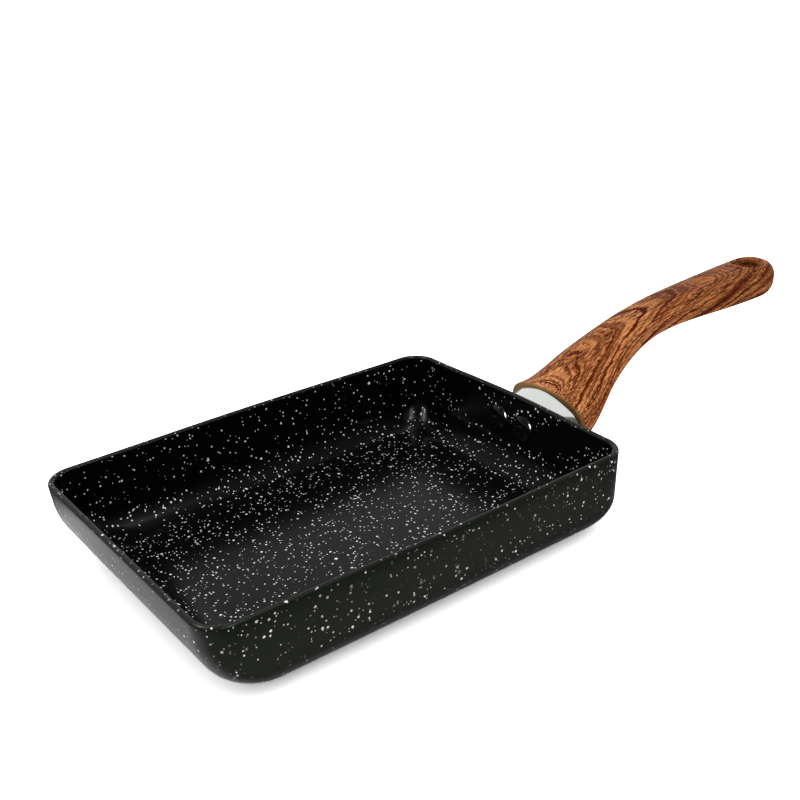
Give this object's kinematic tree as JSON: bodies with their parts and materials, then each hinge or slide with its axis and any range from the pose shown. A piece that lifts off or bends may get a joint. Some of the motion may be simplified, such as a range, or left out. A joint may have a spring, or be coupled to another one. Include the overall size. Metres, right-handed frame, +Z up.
{
  "type": "omelette pan",
  "caption": "Rectangular rolled-omelette pan: shallow coated aluminium tray with a sloped front wall, riveted bracket, steel ferrule and curved wood-print handle with a hanging hole.",
  "frame": {"origin": "on the resting plane, under the middle of the tray's rim", "axes": "+X along the handle, from the tray to the hanging hole; +Z up; +Y to the left, seen from the tray towards the handle's end"},
  "size_m": [0.3486, 0.1324, 0.0593],
  "materials": {
    "coated_aluminium": "black non-stick coating with pale stone speckles, satin",
    "coated_rivets": "black non-stick coating, almost free of speckles, satin",
    "cast_aluminium": "as cast, matt",
    "satin_steel": "satin stainless steel",
    "wood_print_phenolic": "phenolic moulding with a reddish-brown wood-grain print under a satin lacquer",
    "zinc_steel": "zinc plated"
  },
  "bodies": {
    "root": {"pan_body": "coated_aluminium", "rivet_left": "coated_rivets", "rivet_right": "coated_rivets", "handle_bracket": "cast_aluminium", "ferrule": "satin_steel", "handle": "wood_print_phenolic", "handle_screw": "zinc_steel", "lock_washer": "zinc_steel"}
  },
  "joints": []
}
